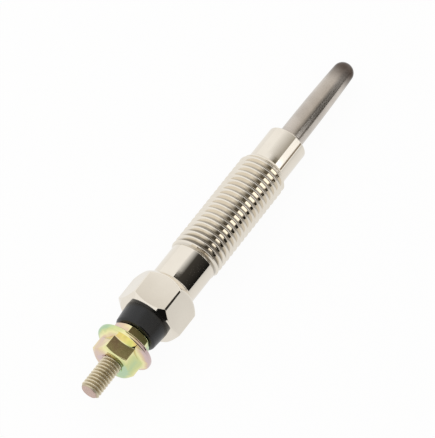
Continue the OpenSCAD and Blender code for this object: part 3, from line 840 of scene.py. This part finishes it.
# %% [markdown]
# ## Nuts
# The outer nut holds the supply lead. Its hexagon runs into a sloping flange with a rounded rim, and a
# wide countersink leads the thread in. The inner one is a thin plain nut that clamps the bush. Both are
# skinned like the housing, turned to the angle at which they were tightened.

# %% Make the flange nut
flange_r = half_width("terminal_nut")
flange_nut_flats, flange_nut_face_r, flange_nut_turn = 8.0, 3.7, 8.0
countersink_r, nut_hole_r = 2.4, 1.783
flange_rim, flange_rise, flange_round = 0.9, 0.75, 0.3
flange_nut_edge = 0.09
rim_x = lock_nut_x - flange_rim
foot_bevel = flange_round / 2
rim_flat_r = flange_r - flange_round
side_r = hexagon(flange_nut_flats)
slope_share = (rim_flat_r - side_r) / (rim_flat_r - flange_nut_flats / 2)
countersink = countersink_r - nut_hole_r

rim = []
for a in np.radians(np.linspace(0, 90, ROUND_STEPS + 1)):
    rim.append((rim_x + flange_round * (1 - math.cos(a)), rim_flat_r + flange_round * math.sin(a)))
rows = [
    (lock_nut_x - countersink, nut_hole_r), (flange_nut_x + countersink, nut_hole_r),
    (flange_nut_x, countersink_r), (flange_nut_x, flange_nut_face_r),
    (flange_nut_x + (side_r - flange_nut_face_r) * BEVEL_SLOPE, side_r),
    (rim_x - flange_rise * slope_share, side_r), *rim,
    (lock_nut_x - foot_bevel, flange_r), (lock_nut_x, flange_r - foot_bevel), (lock_nut_x, countersink_r)]
made = bmesh.new()
skin(made, [ring(x, r, flange_nut_turn) for x, r in rows])
flange_nut = finish_piece("flange_nut", made, zinc, lambda place, along: flange_nut_edge)
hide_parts("terminal_nut")

# %% Make the plain nut
lock_nut_flats, lock_nut_face_r, lock_nut_turn = 7.0, 3.3, 28.0
lead_r = 2.08
lock_nut_edge = 0.08
side_r = hexagon(lock_nut_flats)
bevel = (side_r - lock_nut_face_r) * BEVEL_SLOPE
lead = lead_r - nut_hole_r
rows = [
    (bush_x - lead, nut_hole_r), (lock_nut_x + lead, nut_hole_r), (lock_nut_x, lead_r),
    (lock_nut_x, lock_nut_face_r), (lock_nut_x + bevel, side_r), (bush_x - bevel, side_r),
    (bush_x, lock_nut_face_r), (bush_x, lead_r)]
made = bmesh.new()
skin(made, [ring(x, r, lock_nut_turn) for x, r in rows])
plain_nut = finish_piece("plain_nut", made, zinc, lambda place, along: lock_nut_edge)
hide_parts("lock_nut")

# %% [markdown]
# ## Stud and electrode
# The electrode is one steel rod. Outside, its end is rolled to a stud thread, and inside it runs down to
# the heater's coil. The stud went through the same chromate bath, but handling and the nuts have rubbed
# it to a dull olive brass in patches, and it is pinkish where the end was sawn. Its crests carry a
# painted highlight and its roots painted shade.

# %% Finish of the stud
PATCH_MM, SCALE_MM, SCALE_DEPTH_MM = 1.6, 0.2, 0.02
SCALE_STRENGTH = 0.1
ROOT_SHADE_MIX, CREST_LIGHT_MIX, WORN_PATCH = -0.1, 0.6, 0.6
SAWN_MM, SAWN_FADE_MM = 0.02, 0.12
STUD_ROUGHNESS = {"To Min": 0.42, "To Max": 0.55}
stud_r, stud_root_r, rod_r = 2.0, 1.571, 1.7727

stud_steel, tree, shader, place = start_finish("rolled steel, worn yellow chromate", 1.0)
station = add(tree, "ShaderNodeSeparateXYZ", {0: place}).outputs["X"]
patch = add(tree, "ShaderNodeTexNoise", {"Vector": place, "Scale": per_metre(PATCH_MM), "Detail": 4.0})
# Painted highlight on the crests and painted shade in the roots, mixed with patches of wear.
worn_and_lit = add(tree, "ShaderNodeMapRange", {
    "Value": off_axis(tree, place), "From Min": stud_root_r * MM, "From Max": stud_r * MM,
    "To Min": ROOT_SHADE_MIX, "To Max": CREST_LIGHT_MIX})
worn_and_lit = add(tree, "ShaderNodeMath", {0: patch.outputs[0], 1: WORN_PATCH, 2: worn_and_lit.outputs[0]},
           operation="MULTIPLY_ADD", use_clamp=True)
# The dark colour is the painted shade of the roots, the light one the painted highlight of the crests.
brass = add(tree, "ShaderNodeMix", {0: worn_and_lit.outputs[0], COLOUR_A: linear("#A89A78"),
                                    COLOUR_B: linear("#F8EED6")}, data_type="RGBA")
sawn = add(tree, "ShaderNodeMapRange", {
    "Value": station, "From Min": (stud_end_x + SAWN_MM) * MM, "From Max": (stud_end_x + SAWN_FADE_MM) * MM,
    "To Min": 1.0, "To Max": 0.0})
steel = add(tree, "ShaderNodeMix", {0: sawn.outputs[0], COLOUR_A: brass.outputs[COLOUR_OUT],
                                    COLOUR_B: linear("#D6BDB2")}, data_type="RGBA")
tree.links.new(steel.outputs[COLOUR_OUT], shader.inputs["Base Color"])
gloss = add(tree, "ShaderNodeMapRange", {**NOISE_SPAN, **STUD_ROUGHNESS, "Value": patch.outputs[0]})
tree.links.new(gloss.outputs[0], shader.inputs["Roughness"])
scale = add(tree, "ShaderNodeTexNoise", {"Vector": place, "Scale": per_metre(SCALE_MM), "Detail": 2.0})
rough = add(tree, "ShaderNodeBump", {"Height": scale.outputs[0], "Strength": SCALE_STRENGTH,
                                     "Distance": SCALE_DEPTH_MM * MM})
tree.links.new(rough.outputs[0], shader.inputs["Normal"])
print(stud_steel.name)

# %% Make the electrode
stud_pitch, stud_chamfer, stud_run_in = 0.7, 0.45, 0.5
pin_r, coil_pin_r = 1.1, 0.867
control_set_back, electrode_edge = 2.0, 0.05
control_x = root_x - control_set_back
stud_start_x = flange_nut_x + countersink
stud_face_r = stud_r - stud_chamfer


def electrode_rounding(place, along):
    """Size of the rounding on the electrode's edges."""
    if stud_end_x + WELD < place.x < stud_start_x + WELD:
        return None
    return 0 if place.x < stud_start_x else electrode_edge


made = bmesh.new()
skin(made, [
    ring(stud_start_x, rod_r), ring(sheath_x, rod_r), ring(sheath_x, pin_r), ring(control_x, pin_r),
    ring(control_x, coil_pin_r), ring(spigot_end_x, coil_pin_r), ring(spigot_end_x, 0)], closed=False)
skin(made, [ring(stud_end_x, stud_face_r), ring(stud_end_x, 0)], closed=False)
cut_thread(made, stud_steel, stud_start_x, stud_start_x - stud_end_x, -1, stud_pitch, stud_r, stud_root_r,
           rod_r, stud_run_in, stud_chamfer, stud_face_r)
electrode = finish_piece("threaded_electrode", made, stud_steel, electrode_rounding)
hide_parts("centre_electrode")

# %% [markdown]
# ## Inside the plug
# The coils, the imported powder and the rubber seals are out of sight, but they are real pieces and each
# shows as soon as the plug is cut open. The CAD shapes are right as they are, so only their materials are
# made here, by one function that varies a colour with a noise of the material's own grain. Oxidised wire
# is a dull brown-grey metal, packed powder is chalky and nearly white, and rubber is a soft, even black.

# %% Finishes of the inner pieces
INNER_DEPTH_MM = 0.02


def grainy(name, dark, light, grain_mm, metallic, roughness, bump):
    """A material whose colour and surface vary with a grain of this size."""
    material, tree, shader, place = start_finish(name, metallic)
    grain = add(tree, "ShaderNodeTexNoise", {"Vector": place, "Scale": per_metre(grain_mm), "Detail": 3.0})
    colour = add(tree, "ShaderNodeMix", {0: grain.outputs[0], COLOUR_A: linear(dark),
                                         COLOUR_B: linear(light)}, data_type="RGBA")
    tree.links.new(colour.outputs[COLOUR_OUT], shader.inputs["Base Color"])
    shader.inputs["Roughness"].default_value = roughness
    relief = add(tree, "ShaderNodeBump", {"Height": grain.outputs[0], "Strength": bump,
                                          "Distance": INNER_DEPTH_MM * MM})
    tree.links.new(relief.outputs[0], shader.inputs["Normal"])
    return material


wire = grainy("drawn resistance wire, oxidised", "#6E655D", "#948A80",
              grain_mm=0.3, metallic=1.0, roughness=0.4, bump=0.1)
oxide = grainy("packed magnesium oxide powder", "#E2DED3", "#F1EEE6",
               grain_mm=0.08, metallic=0.0, roughness=0.9, bump=0.5)
rubber = grainy("moulded sealing rubber", "#101011", "#1D1D1F",
                grain_mm=0.25, metallic=0.0, roughness=0.6, bump=0.2)
inner = {"heating_coil": wire, "control_coil": wire, "insulation_powder": oxide, "sheath_seal": rubber,
         "seal_ring": rubber}
for name, material in inner.items():
    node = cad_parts[name]
    node.data.materials.clear()
    node.data.materials.append(material)
print(len(inner), "inner pieces keep their CAD shape")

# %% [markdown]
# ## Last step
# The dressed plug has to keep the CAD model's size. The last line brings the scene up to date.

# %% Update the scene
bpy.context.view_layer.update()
